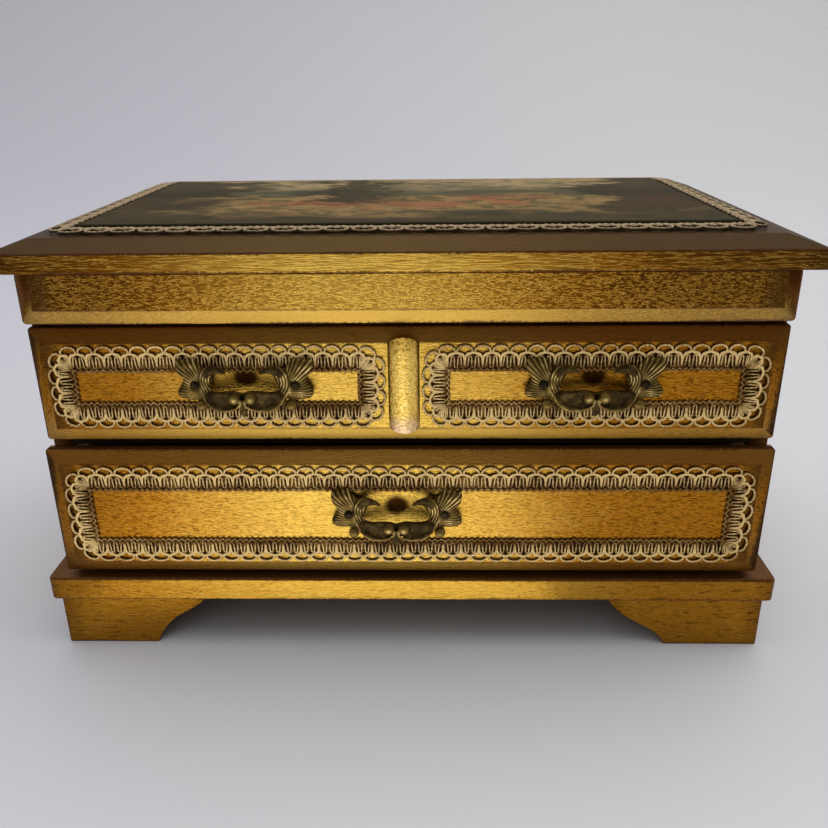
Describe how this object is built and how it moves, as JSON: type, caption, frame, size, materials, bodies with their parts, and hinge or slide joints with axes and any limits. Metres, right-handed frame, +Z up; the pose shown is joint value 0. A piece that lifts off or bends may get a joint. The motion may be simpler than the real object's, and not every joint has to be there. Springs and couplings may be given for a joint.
{
  "type": "jewelry box",
  "caption": "Gilded wooden jewelry chest on bracket feet, with a hinged picture lid over a lined tray, sliding drawers with cast pulls, and lace trim.",
  "frame": {"origin": "on the table under the middle of the box's bounding box, pulls included", "axes": "+X to the right as seen from the front, -Y out of the front, +Z up"},
  "size_m": [0.2642, 0.1722, 0.1539],
  "materials": {
    "gilt_wood": "satin",
    "bare_wood": "matte",
    "picture": "gloss",
    "lace": "matte",
    "velvet": "matte",
    "pull_brass": "satin",
    "hinge_brass": "satin",
    "mirror": "polished"
  },
  "bodies": {
    "carcass": {"base_board": "gilt_wood", "foot_front_left": "gilt_wood", "foot_front_right": "gilt_wood", "foot_back_left": "gilt_wood", "foot_back_right": "gilt_wood", "foot_glue_blocks": "bare_wood", "side_left": "gilt_wood", "side_right": "gilt_wood", "back_panel": "gilt_wood", "dust_board": "bare_wood", "tray_floor": "bare_wood", "tray_lining": "velvet", "tray_front": "gilt_wood", "drawer_runners": "bare_wood", "hinge_left_case_leaf": "hinge_brass", "hinge_right_case_leaf": "hinge_brass", "hinge_left_pin": "hinge_brass", "hinge_right_pin": "hinge_brass", "hinge_screws_case": "hinge_brass"},
    "upper_drawer": {"upper_drawer_front": "gilt_wood", "upper_drawer_side_left": "bare_wood", "upper_drawer_side_right": "bare_wood", "upper_drawer_back": "bare_wood", "upper_drawer_bottom": "bare_wood", "upper_drawer_lining": "velvet", "half_round_bead": "gilt_wood", "lace_upper_left": "lace", "lace_upper_right": "lace", "pull_upper_left": "pull_brass", "pull_upper_right": "pull_brass", "pull_nails_upper": "pull_brass"},
    "lower_drawer": {"lower_drawer_front": "gilt_wood", "lower_drawer_side_left": "bare_wood", "lower_drawer_side_right": "bare_wood", "lower_drawer_back": "bare_wood", "lower_drawer_bottom": "bare_wood", "lower_drawer_lining": "velvet", "lace_lower": "lace", "pull_lower": "pull_brass", "pull_nails_lower": "pull_brass"},
    "lid": {"lid_board": "gilt_wood", "picture_panel": "picture", "lace_lid": "lace", "lid_lining": "velvet", "lid_mirror": "mirror", "mirror_frame": "gilt_wood", "hinge_left_lid_leaf": "hinge_brass", "hinge_right_lid_leaf": "hinge_brass", "hinge_screws_lid": "hinge_brass"}
  },
  "joints": [
    {"name": "upper_drawer_slide", "type": "slide", "parent": "carcass", "child": "upper_drawer", "axis": [0, -1, 0], "range_m": [0, 0.1]},
    {"name": "lower_drawer_slide", "type": "slide", "parent": "carcass", "child": "lower_drawer", "axis": [0, -1, 0], "range_m": [0, 0.105]},
    {"name": "lid_hinge", "type": "hinge", "parent": "carcass", "child": "lid", "pos_m": [0, 0.0813, 0.14155], "axis": [-1, 0, 0], "range_deg": [0, 115]}
  ]
}
